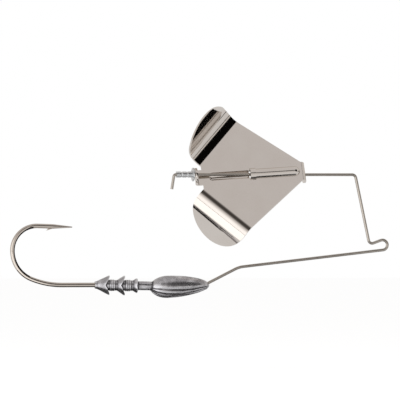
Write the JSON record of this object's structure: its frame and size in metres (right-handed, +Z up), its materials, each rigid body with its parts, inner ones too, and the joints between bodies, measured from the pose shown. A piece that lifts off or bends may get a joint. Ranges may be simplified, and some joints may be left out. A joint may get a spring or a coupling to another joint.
{
  "type": "buzzbait fishing lure",
  "caption": "Bent-wire surface fishing lure with a spinning two-wing delta blade, a lead head with a barbed bait collar, and a large upturned single hook.",
  "frame": {"origin": "centre of the open bend that the line is tied to", "axes": "+X forward, the way the lure is pulled; +Z up, towards the blade and the hook's point; +Y across the lure, from its right side to its left; the wire and the hook lie in the plane y = 0"},
  "size_m": [0.1389, 0.0193, 0.0687],
  "materials": {
    "spring_wire": "drawn stainless spring wire",
    "hook_steel": "nickel plated forged steel",
    "bare_lead": "bare cast lead",
    "plated_blade": "mirror nickel plate",
    "rivet_aluminium": "bright drawn aluminium"
  },
  "bodies": {
    "lure_frame": {"wire_frame": "spring_wire", "hook": "hook_steel", "lead_head": "bare_lead"},
    "rivet": {"rivet": "rivet_aluminium"},
    "blade": {"blade": "plated_blade"}
  },
  "joints": [
    {"name": "rivet_slide", "type": "slide", "parent": "lure_frame", "child": "rivet", "axis": [1, 0, 0], "range_m": [0, 0.0153]},
    {"name": "blade_spin", "type": "hinge", "parent": "rivet", "child": "blade", "pos_m": [-0.0487, 0, 0.0253], "axis": [1, 0, 0], "continuous": true}
  ]
}
